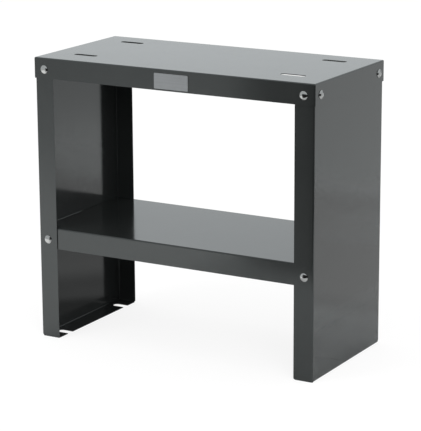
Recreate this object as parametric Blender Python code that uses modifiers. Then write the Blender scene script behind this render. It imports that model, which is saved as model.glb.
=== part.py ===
"""Slip roll stand: a bolted stand of folded sheet steel for a bench-top bending machine.

A top pan with turned-down skirts sits over two channel legs, and a lower shelf ties the legs
together. Carriage bolts with washers and nuts hold the four sheet pieces, and a blank nameplate
is bonded to the front skirt. Nothing on the stand moves.

Metres, +Z up, X along the stand's width, front towards -Y. The origin is the middle of the
footprint, on the floor.
"""

import math

import bmesh
import bpy
from mathutils import Matrix, Vector

# Overall sizes of the painted sheet work.
STAND_WIDTH = 0.762
STAND_DEPTH = 0.362
STAND_HEIGHT = 0.704

# Sheet steel and its bends.
SHEET_THICKNESS = 0.0019
BEND_INSIDE_RADIUS = 0.0015
BEND_SEGMENTS = 4

# Top pan: skirts, and the slots that take a machine's holding-down bolts.
SKIRT_DEPTH = 0.0508
SLOT_LENGTH = 0.064
SLOT_WIDTH = 0.016
SLOT_FROM_SIDE = 0.0975
SLOT_FROM_FRONT = 0.080
SLOT_FROM_BACK = 0.070

# Legs: flanges, foot flange, floor notches and rounded lower corners.
LEG_FLANGE_WIDTH = 0.0504
FOOT_WIDTH = 0.0504
FOOT_END_GAP = 0.0006
NOTCH_WIDTH = 0.022
NOTCH_DEPTH = 0.036
NOTCH_FROM_FACE = 0.0495
OUTER_CORNER_ROUND = 0.008
INNER_CORNER_ROUND = 0.007

# Lower shelf.
SHELF_HEIGHT = 0.281
SHELF_FLANGE_DEPTH = 0.0527

# Bolt places, from the leg's outer faces, the top face and the shelf's upper face.
TOP_BOLT_INSET = 0.0267
TOP_BOLT_DROP = 0.0284
SHELF_BOLT_INSET = 0.0242
SHELF_BOLT_DROP = 0.0302

# Carriage bolt, flat washer, split lock washer and hexagon nut, for an 8 mm thread.
BOLT_DIAMETER = 0.008
NECK_WIDTH = 0.008
HEAD_DIAMETER = 0.0205
HEAD_HEIGHT = 0.005
HEAD_RIM = 0.0007
BOLT_PROJECTION = 0.0045
BOLT_POINT = 0.0008
WASHER_DIAMETER = 0.016
WASHER_THICKNESS = 0.0016
LOCK_WASHER_DIAMETER = 0.0148
LOCK_WASHER_THICKNESS = 0.002
LOCK_WASHER_SPLIT = 0.0015
LOCK_WASHER_SPLIT_ANGLE = math.radians(25)
NUT_ACROSS_FLATS = 0.013
NUT_HEIGHT = 0.0065
NUT_CHAMFER_ANGLE = math.radians(30)
NUT_FACE_SHARE = 0.95
ROUND_STEPS = 20
DOME_RINGS = 5

# Blank nameplate on the front skirt.
PLATE_WIDTH = 0.092
PLATE_HEIGHT = 0.0372
PLATE_THICKNESS = 0.0008
PLATE_CORNER = 0.0015
PLATE_CENTRE_X = 0.005
PLATE_FROM_TOP = 0.0096

# Colours of the paint, the plating and the nameplate.
CHARCOAL = (0.022, 0.023, 0.023)
ZINC = (0.62, 0.62, 0.60)
SATIN_GREY = (0.40, 0.40, 0.40)

# Fits and clearances.
LEG_FIT_GAP = 0.0005
LEG_TOP_GAP = 0.003
SHELF_FIT_GAP = 0.0005
SHELF_END_GAP = 0.0015
SEAT_GAP = 0.0003
HOLE_CLEARANCE = 0.0003
CUT_MARGIN = 0.003
ARC_STEPS = 8
MERGE_DISTANCE = 0.00001

# Worked out from the sizes above.
BEND_OUTSIDE_RADIUS = BEND_INSIDE_RADIUS + SHEET_THICKNESS
SLIT_WIDTH = FOOT_END_GAP + SHEET_THICKNESS * math.sin(math.pi / 4 / BEND_SEGMENTS)
LEG_FACE_X = STAND_WIDTH / 2 - SHEET_THICKNESS - LEG_FIT_GAP
LEG_FACE_Y = STAND_DEPTH / 2 - SHEET_THICKNESS - LEG_FIT_GAP
LEG_TOP = STAND_HEIGHT - SHEET_THICKNESS - BEND_INSIDE_RADIUS - LEG_TOP_GAP
SHELF_FACE_Y = LEG_FACE_Y - SHEET_THICKNESS - SHELF_FIT_GAP
SHELF_END_X = LEG_FACE_X - SHEET_THICKNESS - BEND_INSIDE_RADIUS - SHELF_END_GAP
TOP_GRIP = 2 * SHEET_THICKNESS + LEG_FIT_GAP
SHELF_GRIP = 2 * SHEET_THICKNESS + SHELF_FIT_GAP
BORE_RADIUS = BOLT_DIAMETER / 2 + HOLE_CLEARANCE

# Turns that point a fastener's own +Z out of each side of the stand.
OUTWARD = {
    "front": Matrix.Rotation(math.radians(90), 4, "X"),
    "back": Matrix.Rotation(math.radians(-90), 4, "X"),
    "right": Matrix.Rotation(math.radians(90), 4, "Y"),
    "left": Matrix.Rotation(math.radians(-90), 4, "Y"),
}


def new_collection(name):
    collection = bpy.data.collections.new(name)
    bpy.context.scene.collection.children.link(collection)
    return collection


def new_material(name, colour, roughness, metallic):
    material = bpy.data.materials.new(name)
    material.use_nodes = True
    shader = material.node_tree.nodes["Principled BSDF"]
    shader.inputs["Base Color"].default_value = (*colour, 1.0)
    shader.inputs["Roughness"].default_value = roughness
    shader.inputs["Metallic"].default_value = metallic
    return material


def place(name, mesh, collection, matrix=Matrix()):
    item = bpy.data.objects.new(name, mesh)
    item.matrix_world = matrix
    collection.objects.link(item)
    return item


def place_cutter(name, mesh, matrix=Matrix()):
    cutter = place(name, mesh, cutters, matrix)
    cutter.hide_render = True
    cutter.display_type = "WIRE"
    return cutter


def mesh_from(name, bm):
    mesh = bpy.data.meshes.new(name)
    bm.to_mesh(mesh)
    bm.free()
    return mesh


def evaluated_mesh(item):
    """The item's mesh with its modifiers worked in, as a mesh that several pieces can share."""
    bpy.context.view_layer.update()
    graph = bpy.context.evaluated_depsgraph_get()
    mesh = bpy.data.meshes.new_from_object(item.evaluated_get(graph))
    bm = bmesh.new()
    bm.from_mesh(mesh)
    bmesh.ops.remove_doubles(bm, verts=bm.verts, dist=MERGE_DISTANCE)
    bm.to_mesh(mesh)
    bm.free()
    return mesh


def settled(item):
    """The item's finished mesh, once the working object itself is no longer needed."""
    mesh = evaluated_mesh(item)
    mesh.name = item.name
    bpy.data.objects.remove(item)
    return mesh


def boolean(item, cutter, operation="DIFFERENCE"):
    modifier = item.modifiers.new(cutter.name, "BOOLEAN")
    modifier.object = cutter
    modifier.operation = operation
    modifier.solver = "EXACT"


def fold_thickness(item):
    """Sheet thickness, laid inwards from the outer surface of a folded piece."""
    modifier = item.modifiers.new("sheet", "SOLIDIFY")
    modifier.thickness = SHEET_THICKNESS
    modifier.offset = -1.0
    modifier.use_even_offset = True


def box_mesh(name, low, high):
    bm = bmesh.new()
    size = Vector(high) - Vector(low)
    middle = (Vector(high) + Vector(low)) / 2
    bmesh.ops.create_cube(bm, size=1.0, matrix=Matrix.Translation(middle) @ Matrix.Diagonal((*size, 1.0)))
    return mesh_from(name, bm)


def prism_mesh(name, outline, thickness):
    """A flat outline in XY, given thickness evenly on both sides of z = 0."""
    curve = bpy.data.curves.new(name, "CURVE")
    curve.dimensions = "2D"
    curve.fill_mode = "BOTH"
    curve.extrude = thickness / 2
    spline = curve.splines.new("POLY")
    spline.points.add(len(outline) - 1)
    for point, (x, y) in zip(spline.points, outline):
        point.co = (x, y, 0.0, 1.0)
    spline.use_cyclic_u = True
    return settled(place(name, curve, cutters))


def arc(centre, radius, start, end, steps=ARC_STEPS):
    angles = (start + (end - start) * step / steps for step in range(steps + 1))
    return [(centre[0] + radius * math.cos(a), centre[1] + radius * math.sin(a)) for a in angles]


def slot_outline(length, width):
    """A slot with full-round ends, its length along X."""
    reach = (length - width) / 2
    right = arc((reach, 0.0), width / 2, -math.pi / 2, math.pi / 2)
    left = arc((-reach, 0.0), width / 2, math.pi / 2, 3 * math.pi / 2)
    return right + left


def corner_outline(radius):
    """What rounding takes from a square corner at the origin whose sides run along +X and +Y."""
    rounding = arc((radius, radius), radius, 3 * math.pi / 2, math.pi)
    return [(-CUT_MARGIN, -CUT_MARGIN), (radius, -CUT_MARGIN), *rounding, (-CUT_MARGIN, radius)]


def turned_mesh(name, profile, closed):
    """A profile of (radius, height) points turned about Z."""
    count = len(profile)
    edges = [(i, i + 1) for i in range(count - 1)]
    if closed:
        edges.append((count - 1, 0))
    mesh = bpy.data.meshes.new(name)
    mesh.from_pydata([(radius, 0.0, height) for radius, height in profile], edges, [])
    item = place(name, mesh, cutters)
    screw = item.modifiers.new("turned", "SCREW")
    screw.steps = ROUND_STEPS
    screw.render_steps = ROUND_STEPS
    screw.use_merge_vertices = True
    screw.merge_threshold = MERGE_DISTANCE
    return settled(item)


def ring_profile(outer, inner, low, high):
    return [(outer, high), (outer, low), (inner, low), (inner, high)]


def faces_at(bm, axis, value):
    return [f for f in bm.faces if all(abs(v.co[axis] - value) < MERGE_DISTANCE for v in f.verts)]


def edges_at(bm, *places):
    """Edges whose ends both lie at every given (axis, value)."""
    return [
        e
        for e in bm.edges
        if all(abs(v.co[axis] - value) < MERGE_DISTANCE for v in e.verts for axis, value in places)
    ]


def fold(bm, edges, direction):
    """A new flange, drawn out of these edges."""
    drawn = bmesh.ops.extrude_edge_only(bm, edges=edges)["geom"]
    corners = [g for g in drawn if isinstance(g, bmesh.types.BMVert)]
    bmesh.ops.translate(bm, verts=corners, vec=direction)


def round_bends(bm, edges):
    bmesh.ops.bevel(
        bm,
        geom=edges,
        offset=BEND_OUTSIDE_RADIUS,
        segments=BEND_SEGMENTS,
        profile=0.5,
        affect="EDGES",
    )


def face_outwards(bm, axis, value, sign):
    """Turns the folded surface so that its flat face at (axis, value) looks along sign times that axis."""
    bmesh.ops.recalc_face_normals(bm, faces=bm.faces)
    if faces_at(bm, axis, value)[0].normal[axis] * sign < 0:
        bmesh.ops.reverse_faces(bm, faces=bm.faces)


def bolt_places():
    """(name, side, point on the sheet's outer face, grip) for each bolt."""
    top_z = STAND_HEIGHT - TOP_BOLT_DROP
    shelf_z = SHELF_HEIGHT - SHELF_BOLT_DROP
    top_x = LEG_FACE_X - TOP_BOLT_INSET
    top_y = LEG_FACE_Y - TOP_BOLT_INSET
    shelf_x = LEG_FACE_X - SHELF_BOLT_INSET
    places = []
    for row, y in (("front", -1), ("back", 1)):
        for hand, x in (("left", -1), ("right", 1)):
            skirt = Vector((x * top_x, y * STAND_DEPTH / 2, top_z))
            side = Vector((x * STAND_WIDTH / 2, y * top_y, top_z))
            shelf = Vector((x * shelf_x, y * LEG_FACE_Y, shelf_z))
            places.append((f"top_{row}_{hand}", row, skirt, TOP_GRIP))
            places.append((f"top_{hand}_side_{row}", hand, side, TOP_GRIP))
            places.append((f"shelf_{row}_{hand}", row, shelf, SHELF_GRIP))
    return places


def bolt_hole_cutters():
    """One square punch for each bolt, through both of the sheets that it clamps."""
    half = NECK_WIDTH / 2 + HOLE_CLEARANCE
    holes = {}
    for name, side, point, grip in bolt_places():
        mesh = box_mesh(f"{name}_hole", (-half, -half, -grip - CUT_MARGIN), (half, half, CUT_MARGIN))
        holes[name] = place_cutter(f"{name}_hole", mesh, Matrix.Translation(point) @ OUTWARD[side])
    return holes


def make_top_pan(holes):
    """Top sheet with four welded skirts, four slots and a square hole for each top bolt."""
    bm = bmesh.new()
    size = (STAND_WIDTH, STAND_DEPTH, SKIRT_DEPTH, 1.0)
    middle = Matrix.Translation((0.0, 0.0, STAND_HEIGHT - SKIRT_DEPTH / 2))
    bmesh.ops.create_cube(bm, size=1.0, matrix=middle @ Matrix.Diagonal(size))
    skirt_bottom = STAND_HEIGHT - SKIRT_DEPTH
    bmesh.ops.delete(bm, geom=faces_at(bm, 2, skirt_bottom), context="FACES_ONLY")
    rim = set(edges_at(bm, (2, skirt_bottom)))
    round_bends(bm, [e for e in bm.edges if e not in rim])
    face_outwards(bm, 2, STAND_HEIGHT, 1)
    pan = place("top_pan", mesh_from("top_pan", bm), parts)
    fold_thickness(pan)
    outline = slot_outline(SLOT_LENGTH, SLOT_WIDTH)
    punch = prism_mesh("slot_punch", outline, 2 * (SHEET_THICKNESS + CUT_MARGIN))
    slot_x = STAND_WIDTH / 2 - SLOT_FROM_SIDE
    rows = {"front": SLOT_FROM_FRONT - STAND_DEPTH / 2, "back": STAND_DEPTH / 2 - SLOT_FROM_BACK}
    for row, y in rows.items():
        for hand, x in (("left", -slot_x), ("right", slot_x)):
            seat = Matrix.Translation((x, y, STAND_HEIGHT))
            boolean(pan, place_cutter(f"slot_{row}_{hand}", punch, seat))
    for name, hole in holes.items():
        if name.startswith("top_"):
            boolean(pan, hole)
    return pan


def cut_across(bm, axis, value):
    """New edges all round the surface, in the plane across this axis."""
    normal = Vector((0.0, 0.0, 0.0))
    normal[axis] = 1.0
    whole = bm.verts[:] + bm.edges[:] + bm.faces[:]
    bmesh.ops.bisect_plane(bm, geom=whole, dist=MERGE_DISTANCE, plane_co=normal * value, plane_no=normal)


def leg_surface():
    """Outer surface of the left leg: side panel, front and back flanges, and the foot flange.

    A narrow slit at each lower corner parts the foot's bend from the upright bend beside it.
    """
    bm = bmesh.new()
    upright = Matrix.Rotation(math.radians(-90), 4, "Y")
    size = Matrix.Diagonal((LEG_TOP, 2 * LEG_FACE_Y, 1.0, 1.0))
    middle = Matrix.Translation((-LEG_FACE_X, 0.0, LEG_TOP / 2))
    bmesh.ops.create_grid(bm, x_segments=1, y_segments=1, size=0.5, matrix=middle @ upright @ size)
    bends = [*edges_at(bm, (1, -LEG_FACE_Y)), *edges_at(bm, (1, LEG_FACE_Y))]
    fold(bm, bends, (LEG_FLANGE_WIDTH, 0.0, 0.0))
    round_bends(bm, bends)
    foot_y = LEG_FACE_Y - BEND_OUTSIDE_RADIUS - SLIT_WIDTH
    slit_top = BEND_OUTSIDE_RADIUS + SLIT_WIDTH
    cut_across(bm, 1, -foot_y)
    cut_across(bm, 1, foot_y)
    cut_across(bm, 2, slit_top)
    panel = faces_at(bm, 0, -LEG_FACE_X)
    middles = [(f, f.calc_center_median()) for f in panel]
    slits = [f for f, middle in middles if abs(middle.y) > foot_y and middle.z < slit_top]
    bmesh.ops.delete(bm, geom=slits, context="FACES")
    foot_bend = edges_at(bm, (0, -LEG_FACE_X), (2, 0.0))
    fold(bm, foot_bend, (FOOT_WIDTH, 0.0, 0.0))
    round_bends(bm, foot_bend)
    free_corner = Vector((LEG_FLANGE_WIDTH - LEG_FACE_X, LEG_FACE_Y, 0.0))
    corner = min(bm.verts, key=lambda v: (v.co - free_corner).length)
    bmesh.ops.bevel(
        bm,
        geom=[corner],
        offset=INNER_CORNER_ROUND,
        segments=ARC_STEPS,
        profile=0.5,
        affect="VERTICES",
    )
    face_outwards(bm, 0, -LEG_FACE_X, -1)
    return mesh_from("leg", bm)


def make_legs(holes):
    """Two like channel legs, the right one turned half round about the stand's middle."""
    leg = place("leg", leg_surface(), parts)
    fold_thickness(leg)
    foot_x = FOOT_WIDTH - LEG_FACE_X
    outline = slot_outline(2 * NOTCH_DEPTH, NOTCH_WIDTH)
    notch = prism_mesh("notch_punch", outline, 2 * (SHEET_THICKNESS + CUT_MARGIN))
    for row, y in (("front", NOTCH_FROM_FACE - LEG_FACE_Y), ("back", LEG_FACE_Y - NOTCH_FROM_FACE)):
        boolean(leg, place_cutter(f"notch_{row}", notch, Matrix.Translation((foot_x, y, 0.0))))
    reach = BEND_OUTSIDE_RADIUS + SLIT_WIDTH - FOOT_END_GAP / 2
    punch = prism_mesh("corner_punch", corner_outline(OUTER_CORNER_ROUND), 2 * reach)
    corner = Matrix.Translation((-LEG_FACE_X, -LEG_FACE_Y, 0.0))
    across_flange = Matrix.Rotation(math.radians(90), 4, "X")
    across_panel = Matrix.Rotation(math.radians(90), 4, "Z") @ across_flange
    boolean(leg, place_cutter("flange_corner", punch, corner @ across_flange))
    boolean(leg, place_cutter("panel_corner", punch, corner @ across_panel))
    for name, hole in holes.items():
        if "left" in name:
            boolean(leg, hole)
    mesh = settled(leg)
    left = place("left_leg", mesh, parts)
    right = place("right_leg", mesh, parts, Matrix.Rotation(math.pi, 4, "Z"))
    return [left, right]


def make_shelf(holes):
    """Lower shelf: a flat sheet with its front and back edges folded down between the legs."""
    bm = bmesh.new()
    size = Matrix.Diagonal((2 * SHELF_END_X, 2 * SHELF_FACE_Y, 1.0, 1.0))
    level = Matrix.Translation((0.0, 0.0, SHELF_HEIGHT))
    bmesh.ops.create_grid(bm, x_segments=1, y_segments=1, size=0.5, matrix=level @ size)
    bends = [*edges_at(bm, (1, -SHELF_FACE_Y)), *edges_at(bm, (1, SHELF_FACE_Y))]
    fold(bm, bends, (0.0, 0.0, -SHELF_FLANGE_DEPTH))
    round_bends(bm, bends)
    face_outwards(bm, 2, SHELF_HEIGHT, 1)
    shelf = place("lower_shelf", mesh_from("lower_shelf", bm), parts)
    fold_thickness(shelf)
    for name, hole in holes.items():
        if name.startswith("shelf_"):
            boolean(shelf, hole)
    return shelf


def make_nameplate():
    """Thin blank plate with small round corners, bonded to the front skirt."""
    corner_x = PLATE_WIDTH / 2 - PLATE_CORNER
    corner_y = PLATE_HEIGHT / 2 - PLATE_CORNER
    outline = []
    for quarter, (x, y) in enumerate(((1, 1), (-1, 1), (-1, -1), (1, -1))):
        start = quarter * math.pi / 2
        outline += arc((x * corner_x, y * corner_y), PLATE_CORNER, start, start + math.pi / 2)
    mesh = prism_mesh("nameplate", outline, PLATE_THICKNESS)
    y = -STAND_DEPTH / 2 - SEAT_GAP - PLATE_THICKNESS / 2
    z = STAND_HEIGHT - PLATE_FROM_TOP - PLATE_HEIGHT / 2
    seat = Matrix.Translation((PLATE_CENTRE_X, y, z)) @ OUTWARD["front"]
    return place("blank_nameplate", mesh, parts, seat)


def stack_depths(grip):
    """How far below a bolt's outer sheet face each loose piece of its stack begins, and the bolt ends."""
    washer = grip + SEAT_GAP
    lock = washer + WASHER_THICKNESS + SEAT_GAP
    nut = lock + LOCK_WASHER_THICKNESS + SEAT_GAP
    end = nut + NUT_HEIGHT + BOLT_PROJECTION
    return washer, lock, nut, end


def bolt_mesh(name, grip):
    """Domed carriage bolt: its head's flat underside at z = 0, a square neck and a plain shank below."""
    head = HEAD_DIAMETER / 2
    crown = HEAD_HEIGHT - HEAD_RIM
    dome_radius = (head**2 + crown**2) / (2 * crown)
    spread = math.asin(head / dome_radius)
    centre = HEAD_HEIGHT - dome_radius
    angles = [spread * ring / DOME_RINGS for ring in range(DOME_RINGS + 1)]
    dome = [(dome_radius * math.sin(a), centre + dome_radius * math.cos(a)) for a in angles]
    shank = BOLT_DIAMETER / 2
    end = -stack_depths(grip)[3] - SEAT_GAP
    below = [(head, 0.0), (shank, 0.0), (shank, end + BOLT_POINT), (shank - BOLT_POINT, end), (0.0, end)]
    bolt = place(name, turned_mesh(f"{name}_turned", dome + below, closed=False), cutters)
    half = NECK_WIDTH / 2
    neck = box_mesh(f"{name}_neck", (-half, -half, -grip), (half, half, HEAD_RIM))
    boolean(bolt, place_cutter(f"{name}_neck", neck), "UNION")
    return settled(bolt)


def washer_mesh():
    profile = ring_profile(WASHER_DIAMETER / 2, BORE_RADIUS, -WASHER_THICKNESS, 0.0)
    return turned_mesh("flat_washer", profile, closed=True)


def lock_washer_mesh():
    """Spring ring of square section, cut through once on a slant."""
    outer = LOCK_WASHER_DIAMETER / 2
    profile = ring_profile(outer, BORE_RADIUS, -LOCK_WASHER_THICKNESS, 0.0)
    ring = place("lock_washer", turned_mesh("lock_washer_ring", profile, closed=True), cutters)
    half = LOCK_WASHER_SPLIT / 2
    blade = box_mesh("lock_washer_split", (0.0, -half, -outer), (outer + CUT_MARGIN, half, outer))
    middle = Matrix.Translation((0.0, 0.0, -LOCK_WASHER_THICKNESS / 2))
    slant = Matrix.Rotation(LOCK_WASHER_SPLIT_ANGLE, 4, "X")
    boolean(ring, place_cutter("lock_washer_split", blade, middle @ slant))
    return settled(ring)


def nut_mesh():
    """Hexagon nut, chamfered at both ends: a hexagon bar shared with a turned and bored blank."""
    corner = NUT_ACROSS_FLATS / 2 / math.cos(math.pi / 6)
    face = NUT_FACE_SHARE * NUT_ACROSS_FLATS / 2
    outer = corner + HOLE_CLEARANCE
    fall = (outer - face) * math.tan(NUT_CHAMFER_ANGLE)
    profile = [(face, 0.0), (outer, -fall), (outer, fall - NUT_HEIGHT), (face, -NUT_HEIGHT)]
    profile += [(BORE_RADIUS, -NUT_HEIGHT), (BORE_RADIUS, 0.0)]
    blank = turned_mesh("nut_blank", profile, closed=True)
    bm = bmesh.new()
    bmesh.ops.create_cone(
        bm,
        cap_ends=True,
        segments=6,
        radius1=corner,
        radius2=corner,
        depth=NUT_HEIGHT + 2 * CUT_MARGIN,
        matrix=Matrix.Translation((0.0, 0.0, -NUT_HEIGHT / 2)),
    )
    nut = place("hex_nut", mesh_from("hex_nut", bm), cutters)
    boolean(nut, place_cutter("nut_blank", blank), "INTERSECT")
    return settled(nut)


def make_fasteners():
    """A bolt, flat washer, lock washer and nut at each bolt place: (kind, object) pairs."""
    bolts = {
        "top": bolt_mesh("top_carriage_bolt", TOP_GRIP),
        "shelf": bolt_mesh("shelf_carriage_bolt", SHELF_GRIP),
    }
    washer, lock, nut = washer_mesh(), lock_washer_mesh(), nut_mesh()
    made = []
    for name, side, point, grip in bolt_places():
        face = Matrix.Translation(point) @ OUTWARD[side]
        washer_depth, lock_depth, nut_depth, _ = stack_depths(grip)
        stack = (
            ("bolt", bolts[name.split("_")[0]], SEAT_GAP),
            ("washer", washer, -washer_depth),
            ("lock_washer", lock, -lock_depth),
            ("nut", nut, -nut_depth),
        )
        for kind, mesh, height in stack:
            seat = face @ Matrix.Translation((0.0, 0.0, height))
            made.append((kind, place(f"{kind}_{name}", mesh, parts, seat)))
    return made


def finish(item, material):
    item.data.materials.clear()
    item.data.materials.append(material)
    item.data.shade_smooth()
    item.data.set_sharp_from_angle(angle=math.radians(30))


for leftover in list(bpy.data.objects):
    bpy.data.objects.remove(leftover)

parts = new_collection("slip_roll_stand")
cutters = new_collection("cutters")
bolt_holes = bolt_hole_cutters()

finishes = {
    "top_pan": new_material("top_pan_charcoal_paint", CHARCOAL, 0.2, 0.0),
    "leg": new_material("leg_charcoal_paint", CHARCOAL, 0.2, 0.0),
    "shelf": new_material("shelf_charcoal_paint", CHARCOAL, 0.2, 0.0),
    "nameplate": new_material("nameplate_satin_aluminium", SATIN_GREY, 0.4, 1.0),
    "bolt": new_material("bolt_zinc_plate", ZINC, 0.2, 1.0),
    "washer": new_material("washer_zinc_plate", ZINC, 0.3, 1.0),
    "lock_washer": new_material("lock_washer_zinc_plate", ZINC, 0.35, 1.0),
    "nut": new_material("nut_zinc_plate", ZINC, 0.3, 1.0),
}

pieces = [("top_pan", make_top_pan(bolt_holes))]
pieces += [("leg", leg) for leg in make_legs(bolt_holes)]
pieces += [("shelf", make_shelf(bolt_holes)), ("nameplate", make_nameplate())]
pieces += make_fasteners()

stand = bpy.data.objects.new("stand", None)
parts.objects.link(stand)
for kind, piece in pieces:
    finish(piece, finishes[kind])
    piece.parent = stand
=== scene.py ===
# The looks of a bolted sheet-steel stand for a bench-top slip roll, in metres and in the packed
# part's own frame.
import math

import bmesh
import bpy
from mathutils import Matrix, Vector


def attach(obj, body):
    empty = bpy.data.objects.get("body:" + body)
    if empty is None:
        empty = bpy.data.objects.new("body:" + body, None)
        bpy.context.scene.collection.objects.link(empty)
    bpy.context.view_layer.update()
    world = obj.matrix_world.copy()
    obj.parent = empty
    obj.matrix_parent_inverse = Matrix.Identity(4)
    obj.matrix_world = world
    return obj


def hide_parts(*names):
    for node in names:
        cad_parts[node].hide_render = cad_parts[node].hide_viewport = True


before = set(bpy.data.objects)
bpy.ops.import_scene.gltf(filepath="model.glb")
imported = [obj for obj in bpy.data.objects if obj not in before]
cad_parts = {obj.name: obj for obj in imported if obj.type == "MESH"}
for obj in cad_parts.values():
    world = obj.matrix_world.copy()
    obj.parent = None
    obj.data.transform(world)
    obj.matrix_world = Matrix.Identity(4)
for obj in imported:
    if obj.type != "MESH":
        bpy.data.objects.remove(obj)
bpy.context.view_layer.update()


# Top pan
# One sheet of steel folded down on all four sides, its corners welded and dressed smooth, painted
# charcoal. It drops over the legs and is bolted to them; its four slots take the machine's bolts.
pan_width, pan_depth = 0.762, 0.362
pan_top, skirt_bottom = 0.704, 0.6532
sheet = 0.0019
bend_radius, bend_steps = 0.0034, 10
edge_round = 0.0003
slot_x, slot_rows = 0.2835, (-0.101, 0.111)
slot_reach, slot_radius = 0.024, 0.008
square_hole = 0.0086
square_punch_length, slot_punch_length = 0.024, 0.012
top_bolt_x, top_bolt_y, top_bolt_z = 0.3519, 0.1519, 0.6756
same_place, weld_gap = 1e-5, 1e-6
smooth_below = math.radians(35)
cloud_low, cloud_high = 0.3, 0.7
paint_dark, paint_light = (0.0183, 0.0206, 0.0204), (0.0211, 0.0234, 0.0232)
paint_gleam = (0.96, 1.0, 0.995, 1.0)
paint_roughness = (0.10, 0.14)
wave_height, peel_height = 0.0002, 0.000006


def at(corners, axis, value):
    return all(abs(co[axis] - value) < same_place for co in corners)


def begin(name):
    """Takes the primitive just added as the start of a piece, with its size and place applied."""
    piece = bpy.context.active_object
    piece.name = piece.data.name = name
    bpy.ops.object.transform_apply(location=True, rotation=True, scale=True)
    bpy.ops.object.mode_set(mode="EDIT")
    return piece


def select(piece, kind, wanted):
    """In edit mode, selects only the corners, edges or faces whose points pass the test."""
    bpy.ops.mesh.select_mode(type=kind)
    bpy.ops.mesh.select_all(action="DESELECT")
    shape = bmesh.from_edit_mesh(piece.data)
    for item in {"VERT": shape.verts, "EDGE": shape.edges, "FACE": shape.faces}[kind]:
        item.select_set(wanted([item.co] if kind == "VERT" else [v.co for v in item.verts]))
    shape.select_flush_mode()
    bmesh.update_edit_mesh(piece.data)


def pick_up(piece):
    """Leaves edit mode, with this piece alone selected."""
    if bpy.context.mode != "OBJECT":
        bpy.ops.object.mode_set(mode="OBJECT")
    bpy.ops.object.select_all(action="DESELECT")
    piece.select_set(True)
    bpy.context.view_layer.objects.active = piece


def apply_modifier(piece, kind, **settings):
    pick_up(piece)
    modifier = piece.modifiers.new(kind.lower(), kind)
    for setting, value in settings.items():
        setattr(modifier, setting, value)
    bpy.ops.object.modifier_apply(modifier=modifier.name)


def combine(piece, tool, operation="DIFFERENCE"):
    """Cuts the tool's shape out of a piece, or joins or shares it, and takes the tool away."""
    apply_modifier(piece, "BOOLEAN", object=tool, operation=operation, solver="EXACT")
    bpy.data.objects.remove(tool)


def bend_edges():
    """Rounds the selected folds to the sheet's bend radius."""
    bpy.ops.mesh.bevel(offset=bend_radius, segments=bend_steps, profile=0.5, affect="EDGES")


def thicken(piece):
    """Gives a folded surface the thickness of the sheet, inwards."""
    apply_modifier(piece, "SOLIDIFY", thickness=sheet, offset=-1.0, use_even_offset=True)


def punch_square(piece, spot, along):
    """A square hole for a carriage bolt's neck, punched along X (0) or Y (1)."""
    size = [square_hole] * 3
    size[along] = square_punch_length
    bpy.ops.object.select_all(action="DESELECT")
    bpy.ops.mesh.primitive_cube_add(size=1.0, location=spot, scale=size)
    combine(piece, begin("square_punch"))


def punch_slot(piece, spot, radius, reach, steps=64):
    """A slot with full-round ends, its length along X."""
    bpy.ops.object.select_all(action="DESELECT")
    bpy.ops.mesh.primitive_cylinder_add(
        vertices=steps,
        radius=radius,
        depth=slot_punch_length,
        location=spot,
        rotation=(0.0, 0.0, math.pi / steps),
    )
    punch = begin("slot_punch")
    for end in (-1, 1):
        select(punch, "VERT", lambda corners: (corners[0].x - spot[0]) * end > 0)
        bpy.ops.transform.translate(value=(end * reach, 0.0, 0.0))
    combine(piece, punch)


def round_edges(piece, width, sharper_than=50, spared=None):
    """Takes the bite off every sharp edge but those in a spared place, as dressing, paint and
    plating do."""
    pick_up(piece)
    bpy.ops.object.mode_set(mode="EDIT")
    bpy.ops.mesh.select_mode(type="EDGE")
    bpy.ops.mesh.select_all(action="SELECT")
    bpy.ops.mesh.remove_doubles(threshold=weld_gap)
    bpy.ops.mesh.select_all(action="DESELECT")
    bpy.ops.mesh.edges_select_sharp(sharpness=math.radians(sharper_than))
    if spared:
        shape = bmesh.from_edit_mesh(piece.data)
        for edge in shape.edges:
            if all(spared(v.co) for v in edge.verts):
                edge.select_set(False)
        shape.select_flush_mode()
        bmesh.update_edit_mesh(piece.data)
    bpy.ops.mesh.bevel(offset=width, segments=2, profile=0.5, affect="EDGES", clamp_overlap=False)
    bpy.ops.object.mode_set(mode="OBJECT")


def dress(piece, material, node):
    """Smooth shading that keeps flat faces flat, the finish, and the solid that it stands for."""
    pick_up(piece)
    bpy.ops.object.shade_smooth_by_angle(angle=smooth_below)
    apply_modifier(piece, "WEIGHTED_NORMAL", keep_sharp=True)
    piece.data.materials.clear()
    piece.data.materials.append(material)
    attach(piece, "root")
    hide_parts(node)


def new_finish(name):
    """A material with its shader, and a texture coordinate that reads the piece's own place."""
    material = bpy.data.materials.new(name)
    material.use_nodes = True
    tree = material.node_tree
    place = tree.nodes.new("ShaderNodeTexCoord").outputs["Object"]
    return material, tree, tree.nodes["Principled BSDF"], place


def mottle(tree, place, scale, detail=2.0, stretch=(1.0, 1.0, 1.0)):
    """Cloudy noise over the surface, drawn out along any axis whose stretch is under 1."""
    mapping = tree.nodes.new("ShaderNodeMapping")
    mapping.inputs["Scale"].default_value = stretch
    noise = tree.nodes.new("ShaderNodeTexNoise")
    noise.inputs["Scale"].default_value = scale
    noise.inputs["Detail"].default_value = detail
    tree.links.new(place, mapping.inputs["Vector"])
    tree.links.new(mapping.outputs["Vector"], noise.inputs["Vector"])
    return noise.outputs["Fac"]


def tint(tree, cloud, socket, low_colour, high_colour):
    """Colours a socket from one colour where the cloud is low to another where it is high."""
    ramp = tree.nodes.new("ShaderNodeValToRGB")
    stops = zip(ramp.color_ramp.elements, (cloud_low, cloud_high), (low_colour, high_colour))
    for stop, share, colour in stops:
        stop.position = share
        stop.color = (*colour, 1.0)
    tree.links.new(cloud, ramp.inputs["Fac"])
    tree.links.new(ramp.outputs["Color"], socket)


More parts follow.
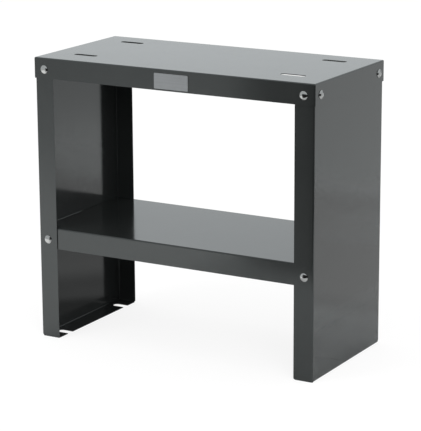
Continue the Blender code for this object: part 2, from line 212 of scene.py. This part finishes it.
def vary(tree, cloud, socket, low, high):
    """Sets a socket from one value where the cloud is low to another where it is high."""
    between = tree.nodes.new("ShaderNodeMapRange")
    between.inputs["From Min"].default_value = cloud_low
    between.inputs["From Max"].default_value = cloud_high
    between.inputs["To Min"].default_value = low
    between.inputs["To Max"].default_value = high
    tree.links.new(cloud, between.inputs["Value"])
    tree.links.new(between.outputs["Result"], socket)


def relief(tree, cloud, height, under=None):
    """Fine unevenness of the surface, laid over a coarser one if there is one."""
    bump = tree.nodes.new("ShaderNodeBump")
    bump.inputs["Distance"].default_value = height
    tree.links.new(cloud, bump.inputs["Height"])
    if under:
        tree.links.new(under, bump.inputs["Normal"])
    return bump.outputs["Normal"]


paint, tree, shader, place = new_finish("glossy_charcoal_paint")
broad_cloud = mottle(tree, place, scale=14.0, detail=4.0)
tint(tree, broad_cloud, shader.inputs["Base Color"], paint_dark, paint_light)
shader.inputs["Specular Tint"].default_value = paint_gleam
fine_cloud = mottle(tree, place, scale=60.0, detail=3.0)
vary(tree, fine_cloud, shader.inputs["Roughness"], *paint_roughness)
sheet_wave = relief(tree, mottle(tree, place, scale=7.0, detail=1.0), wave_height)
orange_peel = relief(tree, mottle(tree, place, scale=900.0), peel_height, sheet_wave)
tree.links.new(orange_peel, shader.inputs["Normal"])

bpy.ops.object.select_all(action="DESELECT")
bpy.ops.mesh.primitive_cube_add(
    size=1.0,
    location=(0.0, 0.0, (pan_top + skirt_bottom) / 2),
    scale=(pan_width, pan_depth, pan_top - skirt_bottom),
)
pan = begin("painted_top_pan")
select(pan, "FACE", lambda corners: at(corners, 2, skirt_bottom))
bpy.ops.mesh.delete(type="ONLY_FACE")
select(pan, "EDGE", lambda corners: not at(corners, 2, skirt_bottom))
bend_edges()
thicken(pan)
for x in (-1, 1):
    for y in slot_rows:
        punch_slot(pan, (x * slot_x, y, pan_top), slot_radius, slot_reach)
    for y in (-1, 1):
        punch_square(pan, (x * top_bolt_x, y * pan_depth / 2, top_bolt_z), along=1)
        punch_square(pan, (x * pan_width / 2, y * top_bolt_y, top_bolt_z), along=0)
round_edges(pan, edge_round)
dress(pan, paint, "top_pan")


# Legs
# Two like channel pressings, painted charcoal: a side panel, a flange folded in along its front
# and back, and a foot folded in along the floor, with open notches for floor bolts. The right leg
# is the left one turned half round. Bolts hold both to the pan and the shelf.
leg_x, leg_y, leg_top = 0.3786, 0.1786, 0.6976
flange_width = 0.0504
slit, slit_margin = 0.001, 0.0003
notch_y, notch_radius, notch_reach = 0.1291, 0.011, 0.025
outer_round, outer_round_steps = 0.008, 96
inner_round, inner_round_steps = 0.007, 12
corner_punch_length, corner_punch_margin = 0.03, 0.003
spared_margin = 0.001
shelf_bolt_x, shelf_bolt_z = 0.3544, 0.2508


def at_front_or_back(corners, y):
    return at(corners, 1, y) or at(corners, 1, -y)


def fold_out(shift):
    """Draws a new flange out of the selected edges."""
    bpy.ops.mesh.extrude_region_move(TRANSFORM_OT_translate={"value": shift})


def face_outward(piece, axis, value, sign):
    """Turns all faces one way, so that those at this place point along the axis by the sign."""
    bpy.ops.mesh.select_all(action="SELECT")
    bpy.ops.mesh.normals_make_consistent(inside=False)
    faces = bmesh.from_edit_mesh(piece.data).faces
    told = next(face for face in faces if at([v.co for v in face.verts], axis, value))
    if told.normal[axis] * sign < 0:
        bpy.ops.mesh.flip_normals()


def middle(low, high):
    return [(a + b) / 2 for a, b in zip(low, high)]


def extent(low, high):
    return [b - a for a, b in zip(low, high)]


def punch_corner(piece, low, high, axle, along):
    """Rounds off a sheet's corner: a block, less the round that is to stay, is taken out of it."""
    bpy.ops.object.select_all(action="DESELECT")
    bpy.ops.mesh.primitive_cube_add(size=1.0, location=middle(low, high), scale=extent(low, high))
    block = begin("corner_block")
    pick_up(block)
    bpy.ops.object.select_all(action="DESELECT")
    bpy.ops.mesh.primitive_cylinder_add(
        vertices=outer_round_steps,
        radius=outer_round,
        depth=corner_punch_length,
        location=axle,
        rotation=[(0.0, math.pi / 2, 0.0), (math.pi / 2, 0.0, 0.0)][along],
    )
    combine(block, begin("corner_round"))
    combine(piece, block)


bpy.ops.object.select_all(action="DESELECT")
bpy.ops.mesh.primitive_plane_add(
    size=1.0, location=(-leg_x, 0.0, leg_top / 2), rotation=(0.0, -math.pi / 2, 0.0)
)
bpy.context.active_object.scale = (leg_top, 2 * leg_y, 1.0)
left_leg = begin("painted_left_leg")
select(left_leg, "EDGE", lambda corners: at_front_or_back(corners, leg_y))
fold_out((flange_width, 0.0, 0.0))
select(
    left_leg,
    "EDGE",
    lambda corners: at(corners, 0, -leg_x) and at_front_or_back(corners, leg_y),
)
bend_edges()
foot_y, slit_top = leg_y - bend_radius - slit, bend_radius + slit
for cut_place, cut_normal in (
    ((0, -foot_y, 0), (0, 1, 0)),
    ((0, foot_y, 0), (0, 1, 0)),
    ((0, 0, slit_top), (0, 0, 1)),
):
    bpy.ops.mesh.select_all(action="SELECT")
    bpy.ops.mesh.bisect(plane_co=cut_place, plane_no=cut_normal)
select(
    left_leg,
    "FACE",
    lambda corners: at(corners, 0, -leg_x)
    and all(co.z < slit_top + same_place for co in corners)
    and abs(sum(co.y for co in corners)) / len(corners) > foot_y,
)
bpy.ops.mesh.delete(type="FACE")
select(left_leg, "EDGE", lambda corners: at(corners, 0, -leg_x) and at(corners, 2, 0.0))
fold_out((flange_width, 0.0, 0.0))
select(left_leg, "EDGE", lambda corners: at(corners, 0, -leg_x) and at(corners, 2, 0.0))
bend_edges()
select(
    left_leg,
    "VERT",
    lambda corners: at(corners, 0, flange_width - leg_x)
    and at(corners, 1, leg_y)
    and at(corners, 2, 0.0),
)
bpy.ops.mesh.bevel(
    offset=inner_round, segments=inner_round_steps, profile=0.5, affect="VERTICES"
)
face_outward(left_leg, 0, -leg_x, -1)
thicken(left_leg)
for y in (-1, 1):
    punch_slot(
        left_leg, (flange_width - leg_x, y * notch_y, 0.0), notch_radius, notch_reach
    )
reach = bend_radius + slit - slit_margin
punch_corner(
    left_leg,
    (-leg_x - corner_punch_margin, -leg_y - reach, -corner_punch_margin),
    (-leg_x + outer_round, -leg_y + reach, outer_round),
    (-leg_x + outer_round, -leg_y, outer_round),
    along=1,
)
punch_corner(
    left_leg,
    (-leg_x - reach, -leg_y - corner_punch_margin, -corner_punch_margin),
    (-leg_x + reach, -leg_y + outer_round, outer_round),
    (-leg_x, -leg_y + outer_round, outer_round),
    along=0,
)
for y in (-1, 1):
    punch_square(left_leg, (-top_bolt_x, y * leg_y, top_bolt_z), along=1)
    punch_square(left_leg, (-leg_x, y * top_bolt_y, top_bolt_z), along=0)
    punch_square(left_leg, (-shelf_bolt_x, y * leg_y, shelf_bolt_z), along=1)
corner_end = outer_round + spared_margin
round_edges(
    left_leg,
    edge_round,
    spared=lambda co: co.x < corner_end - leg_x
    and co.y < corner_end - leg_y
    and co.z < corner_end,
)
pick_up(left_leg)
bpy.ops.object.duplicate()
right_leg = bpy.context.active_object
right_leg.name = right_leg.data.name = "painted_right_leg"
bpy.ops.transform.rotate(value=math.pi, orient_axis="Z", center_override=(0.0, 0.0, 0.0))
bpy.ops.object.transform_apply(location=True, rotation=True, scale=True)
dress(left_leg, paint, "left_leg")
dress(right_leg, paint, "right_leg")


# Lower shelf
# A flat painted sheet with its front and back edges folded down, bolted between the legs' flanges
# to tie them. Its ends are plain and stop 3 mm short of the legs' side panels, so a little light
# comes up through the gap.
shelf_x, shelf_y, shelf_top, shelf_flange = 0.3737, 0.1762, 0.281, 0.0527

bpy.ops.object.select_all(action="DESELECT")
bpy.ops.mesh.primitive_plane_add(size=1.0, location=(0.0, 0.0, shelf_top))
bpy.context.active_object.scale = (2 * shelf_x, 2 * shelf_y, 1.0)
shelf = begin("painted_lower_shelf")
select(shelf, "EDGE", lambda corners: at_front_or_back(corners, shelf_y))
fold_out((0.0, 0.0, -shelf_flange))
select(
    shelf,
    "EDGE",
    lambda corners: at(corners, 2, shelf_top) and at_front_or_back(corners, shelf_y),
)
bend_edges()
face_outward(shelf, 2, shelf_top, 1)
thicken(shelf)
for x in (-1, 1):
    for y in (-1, 1):
        punch_square(shelf, (x * shelf_bolt_x, y * shelf_y, shelf_bolt_z), along=1)
round_edges(shelf, edge_round)
dress(shelf, paint, "lower_shelf")


# Nameplate
# A thin blank plate of satin aluminium with a fine brushed grain, bonded to the middle of the
# front skirt.
plate_low, plate_high = (-0.041, -0.1821, 0.6572), (0.051, -0.1811, 0.6944)
plate_corner, plate_corner_steps = 0.0015, 8
plate_round = 0.0002
satin_dark, satin_light = (0.21, 0.215, 0.22), (0.265, 0.27, 0.275)
satin_roughness = (0.32, 0.46)
grain_stretch, grain_height = (0.03, 1.0, 8.0), 0.00001

satin, tree, shader, place = new_finish("satin_brushed_aluminium")
grain = mottle(tree, place, scale=260.0, detail=3.0, stretch=grain_stretch)
tint(tree, grain, shader.inputs["Base Color"], satin_dark, satin_light)
vary(tree, grain, shader.inputs["Roughness"], *satin_roughness)
tree.links.new(relief(tree, grain, grain_height), shader.inputs["Normal"])
shader.inputs["Metallic"].default_value = 1.0

bpy.ops.object.select_all(action="DESELECT")
bpy.ops.mesh.primitive_cube_add(
    size=1.0, location=middle(plate_low, plate_high), scale=extent(plate_low, plate_high)
)
plate = begin("satin_nameplate")
select(
    plate,
    "EDGE",
    lambda corners: at(corners, 0, corners[0].x) and at(corners, 2, corners[0].z),
)
bpy.ops.mesh.bevel(
    offset=plate_corner, segments=plate_corner_steps, profile=0.5, affect="EDGES"
)
round_edges(plate, plate_round)
dress(plate, satin, "blank_nameplate")


# Carriage bolts
# Zinc-plated steel bolts with a low domed head and a square neck that keeps them from turning in
# the sheet's square holes. The thread shows only inside, past the nuts. Two hold the pan at each
# corner, one the shelf.
dome_radius, dome_steps = 0.01437, 64
head_top, head_rim, head_lift = 0.0053, 0.001, 0.00005
neck, neck_end, neck_round = 0.008, -0.0043, 0.0006
bolt_radius, shank_slack, root_radius, bolt_steps = 0.004, 0.00005, 0.00345, 48
thread_start, thread_overlap, bolt_end, bolt_point = -0.009, 0.001, -0.0198, 0.0008
pitch, thread_turns, thread_steps = 0.00125, 6, 32
ridge_radius, ridge_inset, ridge_scale = 0.00069, 0.0004, (0.98, 0.58, 1.0)
bolt_round = 0.0001
zinc_dark, zinc_light = (0.27, 0.273, 0.27), (0.34, 0.34, 0.333)
zinc_roughness, zinc_height = (0.08, 0.15), 0.000008
outward = {
    "front": (math.pi / 2, 0.0, 0.0),
    "back": (-math.pi / 2, 0.0, 0.0),
    "right": (0.0, math.pi / 2, 0.0),
    "left": (0.0, -math.pi / 2, 0.0),
}
bolt_places = {}
for row, y in (("front", -1), ("back", 1)):
    for hand, x in (("left", -1), ("right", 1)):
        bolt_places[f"top_{row}_{hand}"] = (
            row, (x * top_bolt_x, y * pan_depth / 2, top_bolt_z)
        )
        bolt_places[f"top_{hand}_side_{row}"] = (
            hand, (x * pan_width / 2, y * top_bolt_y, top_bolt_z)
        )
        bolt_places[f"shelf_{row}_{hand}"] = (
            row, (x * shelf_bolt_x, y * leg_y, shelf_bolt_z)
        )


def bar(name, radius, low, high, steps):
    """A round bar on the bolt's axis, or one with flats if it has few steps."""
    bpy.ops.object.select_all(action="DESELECT")
    bpy.ops.mesh.primitive_cylinder_add(
        vertices=steps, radius=radius, depth=high - low, location=(0.0, 0.0, (low + high) / 2)
    )
    return begin(name)


def fit_all(model, kind, material):
    """A copy of the model at each bolt's place, facing out of the stand; the model then goes."""
    for name, (side, spot) in bolt_places.items():
        pick_up(model)
        bpy.ops.object.duplicate()
        copy = bpy.context.active_object
        copy.name = copy.data.name = f"zinc_{kind}_{name}"
        copy.rotation_euler = outward[side]
        copy.location = spot
        bpy.ops.object.transform_apply(location=True, rotation=True, scale=True)
        dress(copy, material, f"{kind}_{name}")
    bpy.data.objects.remove(model)


zinc, tree, shader, place = new_finish("bright_zinc_plate")
cloud = mottle(tree, place, scale=420.0, detail=4.0)
tint(tree, cloud, shader.inputs["Base Color"], zinc_dark, zinc_light)
vary(tree, cloud, shader.inputs["Roughness"], *zinc_roughness)
crystals = relief(tree, mottle(tree, place, scale=1500.0), zinc_height)
tree.links.new(crystals, shader.inputs["Normal"])
shader.inputs["Metallic"].default_value = 1.0

bpy.ops.object.select_all(action="DESELECT")
bpy.ops.mesh.primitive_uv_sphere_add(
    segments=dome_steps,
    ring_count=dome_steps,
    radius=dome_radius,
    location=(0.0, 0.0, head_top - dome_radius),
)
bolt = begin("carriage_bolt")
bpy.ops.mesh.select_all(action="SELECT")
bpy.ops.mesh.bisect(
    plane_co=(0.0, 0.0, head_rim), plane_no=(0.0, 0.0, 1.0), clear_inner=True, threshold=weld_gap
)
select(bolt, "EDGE", lambda corners: at(corners, 2, head_rim))
fold_out((0.0, 0.0, head_lift - head_rim))
bpy.ops.mesh.edge_face_add()
bpy.ops.mesh.select_all(action="SELECT")
bpy.ops.mesh.normals_make_consistent(inside=False)
pick_up(bolt)
bpy.ops.object.select_all(action="DESELECT")
bpy.ops.mesh.primitive_cube_add(
    size=1.0,
    location=(0.0, 0.0, (neck_end + head_rim) / 2),
    scale=(neck, neck, head_rim - neck_end),
)
square_neck = begin("square_neck")
select(
    square_neck,
    "EDGE",
    lambda corners: at(corners, 0, corners[0].x) and at(corners, 1, corners[0].y),
)
bpy.ops.mesh.bevel(offset=neck_round, segments=3, profile=0.5, affect="EDGES")
combine(bolt, square_neck, "UNION")
shank = bar("shank", bolt_radius - shank_slack, thread_start, head_rim / 2, bolt_steps)
combine(bolt, shank, "UNION")
core = bar("thread_core", root_radius, bolt_end, thread_start + thread_overlap, bolt_steps)
select(core, "EDGE", lambda corners: at(corners, 2, bolt_end))
bpy.ops.mesh.bevel(offset=bolt_point / 2, segments=1, affect="EDGES")
pick_up(core)
bpy.ops.object.select_all(action="DESELECT")
bpy.ops.mesh.primitive_circle_add(
    vertices=3,
    radius=ridge_radius,
    fill_type="NOTHING",
    location=(bolt_radius - ridge_inset, 0.0, bolt_end + bolt_point),
    rotation=(-math.pi / 2, -math.pi / 2, 0.0),
)
bpy.context.active_object.scale = ridge_scale
ridge = begin("thread_ridge")
apply_modifier(
    ridge,
    "SCREW",
    screw_offset=pitch,
    iterations=thread_turns,
    steps=thread_steps,
    render_steps=thread_steps,
    use_merge_vertices=False,
)
bpy.ops.object.mode_set(mode="EDIT")
bpy.ops.mesh.select_all(action="SELECT")
bpy.ops.mesh.fill_holes(sides=3)
bpy.ops.mesh.normals_make_consistent(inside=False)
combine(core, ridge, "UNION")
combine(bolt, core, "UNION")
round_edges(bolt, bolt_round, sharper_than=75)
fit_all(bolt, "bolt", zinc)


# Flat washers
# Stamped rings of zinc-plated steel, one behind the sheets at each bolt, which spread the nut's
# hold over the square hole.
washer_radius, bore_radius, ring_steps = 0.008, 0.0043, 72
washer_face, washer_thickness, washer_round = -0.0046, 0.0016, 0.0002


def ring(name, radius, face, thickness):
    """A flat ring round the bolt, whose outer face lies at this depth."""
    bpy.ops.object.select_all(action="DESELECT")
    bpy.ops.mesh.primitive_circle_add(
        vertices=ring_steps, radius=radius, fill_type="NOTHING", location=(0.0, 0.0, face)
    )
    made = begin(name)
    bpy.ops.mesh.select_all(action="SELECT")
    bpy.ops.mesh.extrude_region_move()
    share = bore_radius / radius
    bpy.ops.transform.resize(value=(share, share, 1.0), center_override=(0.0, 0.0, face))
    face_outward(made, 2, face, 1)
    apply_modifier(made, "SOLIDIFY", thickness=thickness, offset=-1.0)
    return made


washer = ring("flat_washer", washer_radius, washer_face, washer_thickness)
round_edges(washer, washer_round)
fit_all(washer, "washer", zinc)


# Lock washers
# Spring rings of square section in zinc-plated steel, cut through on a slant and pressed flat
# under the nuts to keep them from working loose.
lock_radius, lock_face, lock_thickness, lock_round = 0.0074, -0.0065, 0.002, 0.00015
split_width, split_slant = 0.0015, math.radians(25)
split_spare, split_height = 0.002, 0.02

lock_washer = ring("lock_washer", lock_radius, lock_face, lock_thickness)
bpy.ops.object.select_all(action="DESELECT")
bpy.ops.mesh.primitive_cube_add(
    size=1.0,
    location=(lock_radius, 0.0, lock_face - lock_thickness / 2),
    rotation=(split_slant, 0.0, 0.0),
)
bpy.context.active_object.scale = (2 * lock_radius - split_spare, split_width, split_height)
combine(lock_washer, begin("split_cutter"))
round_edges(
    lock_washer, lock_round, spared=lambda co: co.x > 0 and abs(co.y) < 2 * split_width
)
fit_all(lock_washer, "lock_washer", zinc)


# Nuts
# Hexagon nuts of zinc-plated steel, chamfered at both ends, run down the bolts inside the stand
# on top of the lock washers.
nut_face, nut_height, across_flats = -0.0088, 0.0065, 0.013
nut_corner = across_flats / 2 / math.cos(math.pi / 6)
blank_radius, end_radius, chamfer_fall, blank_steps = 0.0078, 0.006175, 0.00094, 96
bore_step, bore_margin, bore_steps = 0.0002, 0.001, 64
nut_round = 0.00012

nut_end = nut_face - nut_height
upper_chamfer, lower_chamfer = nut_face - chamfer_fall, nut_end + chamfer_fall
nut = bar("hex_nut", nut_corner, nut_end, nut_face, 6)
pick_up(nut)
blank = bar("turned_blank", blank_radius, lower_chamfer, upper_chamfer, blank_steps)
taper = end_radius / blank_radius
for level, step in ((upper_chamfer, chamfer_fall), (lower_chamfer, -chamfer_fall)):
    select(blank, "FACE", lambda corners: at(corners, 2, level))
    fold_out((0.0, 0.0, step))
    bpy.ops.transform.resize(value=(taper, taper, 1.0), center_override=(0.0, 0.0, level))
combine(nut, blank, "INTERSECT")
bore = bar(
    "nut_bore", bore_radius - bore_step, nut_end - bore_margin, nut_face + bore_margin, bore_steps
)
combine(nut, bore)
round_edges(nut, nut_round)
fit_all(nut, "nut", zinc)


# Studio
# A pale floor and a white surround, with a soft lamp on either side of the front. The cards are
# seen by reflections only. Dark ones lying under the stand and just behind it are painted shadow,
# the stand's own shadow on the floor, and glowing ones lying in front of it and behind it are
# painted pools of light; grey ones lying further behind and to the right make the floor darker
# there. Dim, dark and bright upright ones stand in front, right and back in place of the room.
floor_size = 16.0
floor_grey, floor_glow = (0.17, 0.17, 0.17), 0.85
mirrored_floor, mirrored_glow = (0.925, 0.95, 0.955), 0.05
white, cool_white = (1.0, 1.0, 1.0), (1.0, 1.05, 1.07)
surround_low, surround_high = 0.35, 1.25
straight_rays, mirror_rays = ("Is Camera Ray",), ("Is Glossy Ray", "Is Transmission Ray")


def light_path_share(tree, names):
    """1 for the kinds of ray named, and 0 for the rest."""
    path = tree.nodes.new("ShaderNodeLightPath")
    total = path.outputs[names[0]]
    for name in names[1:]:
        either = tree.nodes.new("ShaderNodeMath")
        either.operation = "MAXIMUM"
        tree.links.new(total, either.inputs[0])
        tree.links.new(path.outputs[name], either.inputs[1])
        total = either.outputs[0]
    return total


def fade(tree, value, start, end, first=0.0, last=1.0):
    """Goes smoothly from the first level at the start to the last level at the end."""
    step = tree.nodes.new("ShaderNodeMapRange")
    step.interpolation_type = "SMOOTHSTEP"
    limits = (("From Min", start), ("From Max", end), ("To Min", first), ("To Max", last))
    for socket, number in limits:
        step.inputs[socket].default_value = number
    tree.links.new(value, step.inputs["Value"])
    return step.outputs["Result"]


def add_looks(tree, first, second):
    both = tree.nodes.new("ShaderNodeAddShader")
    tree.links.new(first, both.inputs[0])
    tree.links.new(second, both.inputs[1])
    return both.outputs["Shader"]


def glow(tree, level):
    light = tree.nodes.new("ShaderNodeEmission")
    light.inputs["Color"].default_value = (level, level, level, 1.0)
    return light


def matt(tree, colour):
    dull = tree.nodes.new("ShaderNodeBsdfDiffuse")
    dull.inputs["Color"].default_value = (*colour, 1.0)
    return dull.outputs["BSDF"]


bpy.ops.object.select_all(action="DESELECT")
bpy.ops.mesh.primitive_plane_add(size=floor_size, location=(0.0, 0.0, 0.0))
floor = bpy.context.active_object
floor.name = floor.data.name = "studio_floor"
floor_finish, tree, shader, _ = new_finish("pale_floor")
tree.nodes.remove(shader)
seen_glow = glow(tree, floor_glow)
tree.links.new(light_path_share(tree, straight_rays), seen_glow.inputs["Strength"])
seen_look = add_looks(tree, matt(tree, floor_grey), seen_glow.outputs["Emission"])
mirror_glow = glow(tree, mirrored_glow)
mirror_look = add_looks(tree, matt(tree, mirrored_floor), mirror_glow.outputs["Emission"])
look = tree.nodes.new("ShaderNodeMixShader")
tree.links.new(light_path_share(tree, mirror_rays), look.inputs["Fac"])
tree.links.new(seen_look, look.inputs[1])
tree.links.new(mirror_look, look.inputs[2])
tree.links.new(look.outputs["Shader"], tree.nodes["Material Output"].inputs["Surface"])
floor.data.materials.append(floor_finish)

across, deep, upward = (1, 0, 0), (0, 1, 0), (0, 0, 1)
slanting, left_of_view = (1, 1, 0), (1, -0.585, 0)


def card(name, low, high, level, hides, edges):
    """An upright or lying sheet between two corners, which hides what is behind it or adds its
    light to that. Each soft edge fades in along a direction, from one distance to another."""
    size = extent(low, high)
    thin = size.index(0.0)
    bpy.ops.object.select_all(action="DESELECT")
    bpy.ops.mesh.primitive_plane_add(
        size=1.0,
        location=middle(low, high),
        rotation=[(0.0, math.pi / 2, 0.0), (math.pi / 2, 0.0, 0.0), (0.0, 0.0, 0.0)][thin],
    )
    made = bpy.context.active_object
    made.scale = [(size[2], size[1], 1.0), (size[0], size[2], 1.0), (size[0], size[1], 1.0)][thin]
    bpy.ops.object.transform_apply(location=True, rotation=True, scale=True)
    made.name = made.data.name = name
    finish, tree, shader, place = new_finish(name)
    tree.nodes.remove(shader)
    cover = None
    for direction, start, end in edges:
        along = tree.nodes.new("ShaderNodeVectorMath")
        along.operation = "DOT_PRODUCT"
        along.inputs[1].default_value = direction
        tree.links.new(place, along.inputs[0])
        share = fade(tree, along.outputs["Value"], start, end)
        if cover:
            product = tree.nodes.new("ShaderNodeMath")
            product.operation = "MULTIPLY"
            tree.links.new(cover, product.inputs[0])
            tree.links.new(share, product.inputs[1])
            share = product.outputs[0]
        cover = share
    light = glow(tree, level)
    tree.links.new(cover, light.inputs["Strength"])
    clear = tree.nodes.new("ShaderNodeBsdfTransparent")
    if hides:
        tree.links.new(fade(tree, cover, 0.0, 1.0, 1.0, 0.0), clear.inputs["Color"])
    card_look = add_looks(tree, light.outputs["Emission"], clear.outputs["BSDF"])
    tree.links.new(card_look, tree.nodes["Material Output"].inputs["Surface"])
    made.data.materials.append(finish)
    made.visible_camera = made.visible_diffuse = made.visible_shadow = False


# Painted light: a glowing sheet on the floor at the front left, seen only in reflections, that
# paints a pool of lamp light there.
card(
    "painted_light_floor_card", (-2.2, -2.6, 0.0008), (-0.15, -0.1, 0.0008), 0.75, False,
    ((across, -2.2, -1.5), (across, -0.15, -0.45), (deep, -2.6, -0.9), (deep, -0.12, -0.22)),
)
# Painted shadow: a dark sheet on the floor under the stand, seen only in reflections, that paints
# the stand's own shadow there.
card(
    "painted_shadow_floor_card", (-0.45, -0.16, 0.0008), (0.55, 0.70, 0.0008), 0.14, True,
    ((across, -0.45, -0.38), (across, 0.55, 0.10), (slanting, -0.05, -0.25), (deep, -0.16, -0.05)),
)
# Painted shadow: a lighter dark sheet under the stand and behind it, seen only in reflections, that
# paints the soft edge of the stand's shadow.
card(
    "painted_soft_shadow_floor_card", (-0.45, -0.16, 0.0006), (0.55, 0.90, 0.0006), 0.40, True,
    ((across, -0.45, -0.38), (across, 0.55, 0.10), (slanting, 0.40, -0.05), (deep, -0.16, -0.05)),
)
# Painted shade: a grey sheet on the floor under the stand and just behind it, seen only in
# reflections, that darkens the floor where the stand shades it.
card(
    "painted_shade_floor_card", (-0.45, 0.0, 0.0004), (0.60, 0.75, 0.0004), 0.64, True,
    ((across, -0.45, -0.38), (left_of_view, 0.06, -0.04), (deep, 0.0, 0.15), (deep, 0.75, 0.55)),
)
card(
    "grey_back_floor_card", (0.0, 1.0, 0.0004), (1.0, 1.42, 0.0004), 0.85, True,
    ((left_of_view, 0.06, -0.04), (deep, 1.0, 1.12), (deep, 1.42, 1.15)),
)
# Painted light: a glowing sheet on the floor further behind the stand, seen only in reflections,
# that brightens the floor there.
card(
    "painted_light_back_floor_card", (0.2, 1.2, 0.0008), (1.7, 2.55, 0.0008), 0.30, False,
    ((left_of_view, 0.12, -0.25), (deep, 1.20, 1.72), (deep, 2.55, 1.72)),
)
card(
    "grey_right_floor_card", (0.2, 0.2, 0.0004), (1.6, 1.75, 0.0004), 0.94, True,
    (
        (left_of_view, -0.04, 0.06), (left_of_view, 0.60, 0.45),
        (deep, 0.25, 0.50), (deep, 1.75, 1.30),
    ),
)
card(
    "dim_front_card", (-0.32, -0.85, 0.0), (0.03, -0.85, 0.60), 0.34, True,
    ((across, -0.32, -0.03), (upward, 0.0, 0.08)),
)
card(
    "bright_front_card", (-0.10, -0.845, 0.05), (0.05, -0.845, 0.36), 0.14, False,
    ((across, -0.10, -0.06), (upward, 0.05, 0.12), (upward, 0.36, 0.14)),
)
card(
    "dark_upper_card", (-0.32, -0.85, 0.60), (0.03, -0.85, 1.00), 0.03, True,
    ((across, -0.32, -0.03), (upward, 1.00, 0.90)),
)
card(
    "dark_front_card", (0.03, -0.85, 0.0), (1.6, -0.85, 1.00), 0.03, True,
    ((upward, 0.0, 0.06), (upward, 1.00, 0.90)),
)
card(
    "dark_right_card", (1.6, -0.85, 0.0), (1.6, 0.3, 1.00), 0.08, True,
    ((deep, 0.3, -0.1), (upward, 0.0, 0.08), (upward, 1.00, 0.88)),
)
card(
    "dark_back_card", (0.45, 2.2, 0.40), (1.40, 2.2, 1.25), 0.20, True,
    ((across, 0.45, 0.65), (across, 1.40, 1.20), (upward, 0.40, 0.52), (upward, 1.25, 1.13)),
)

world = bpy.data.worlds.new("white_surround")
bpy.context.scene.world = world
world.use_nodes = True
tree = world.node_tree
sky = tree.nodes["Background"]
tint(tree, light_path_share(tree, mirror_rays), sky.inputs["Color"], white, cool_white)
direction = tree.nodes.new("ShaderNodeTexCoord").outputs["Generated"]
height = tree.nodes.new("ShaderNodeSeparateXYZ")
tree.links.new(direction, height.inputs["Vector"])
unseen = fade(tree, height.outputs["Z"], 0.0, 1.0, surround_low, surround_high)
strength = tree.nodes.new("ShaderNodeMapRange")
tree.links.new(light_path_share(tree, straight_rays + mirror_rays), strength.inputs["Value"])
tree.links.new(unseen, strength.inputs["To Min"])
tree.links.new(strength.outputs["Result"], sky.inputs["Strength"])

lamps = (
    ("soft_key_lamp", (-1.6, -2.6, 2.6), (0.0, 0.0, 0.35), 1.6, 26.0),
    ("soft_fill_lamp", (2.3, -2.3, 1.25), (-0.2, 0.0, 0.4), 1.4, 32.0),
)
for name, spot, aim, width, power in lamps:
    bpy.ops.object.light_add(type="AREA", location=spot)
    lamp = bpy.context.active_object
    lamp.name = lamp.data.name = name
    lamp.data.shape = "DISK"
    lamp.data.size = width
    lamp.data.energy = power
    lamp.rotation_euler = (Vector(aim) - Vector(spot)).to_track_quat("-Z", "Y").to_euler()
    lamp.visible_camera = lamp.visible_glossy = False


# Camera
# The photograph's viewing angle: from the front right, a little above the top, through a long lens.
eye = (2.39818, -4.14701, 1.52968)
right = (0.86674936, 0.49871713, -0.00517376)
up = (-0.11824264, 0.21555642, 0.96930600)
forward = (-0.48452474, 0.83953359, -0.24580302)
lens, sensor_width, far_limit = 168.735, 36.0, 100.0

bpy.ops.object.camera_add(location=eye)
camera = bpy.context.active_object
camera.name = camera.data.name = "photo_camera"
camera.matrix_world = Matrix(
    [(r, u, -f, e) for r, u, f, e in zip(right, up, forward, eye)] + [(0.0, 0.0, 0.0, 1.0)]
)
camera.data.lens = lens
camera.data.sensor_width = sensor_width
camera.data.clip_end = far_limit
bpy.context.scene.camera = camera
bpy.context.scene.view_settings.view_transform = "Standard"
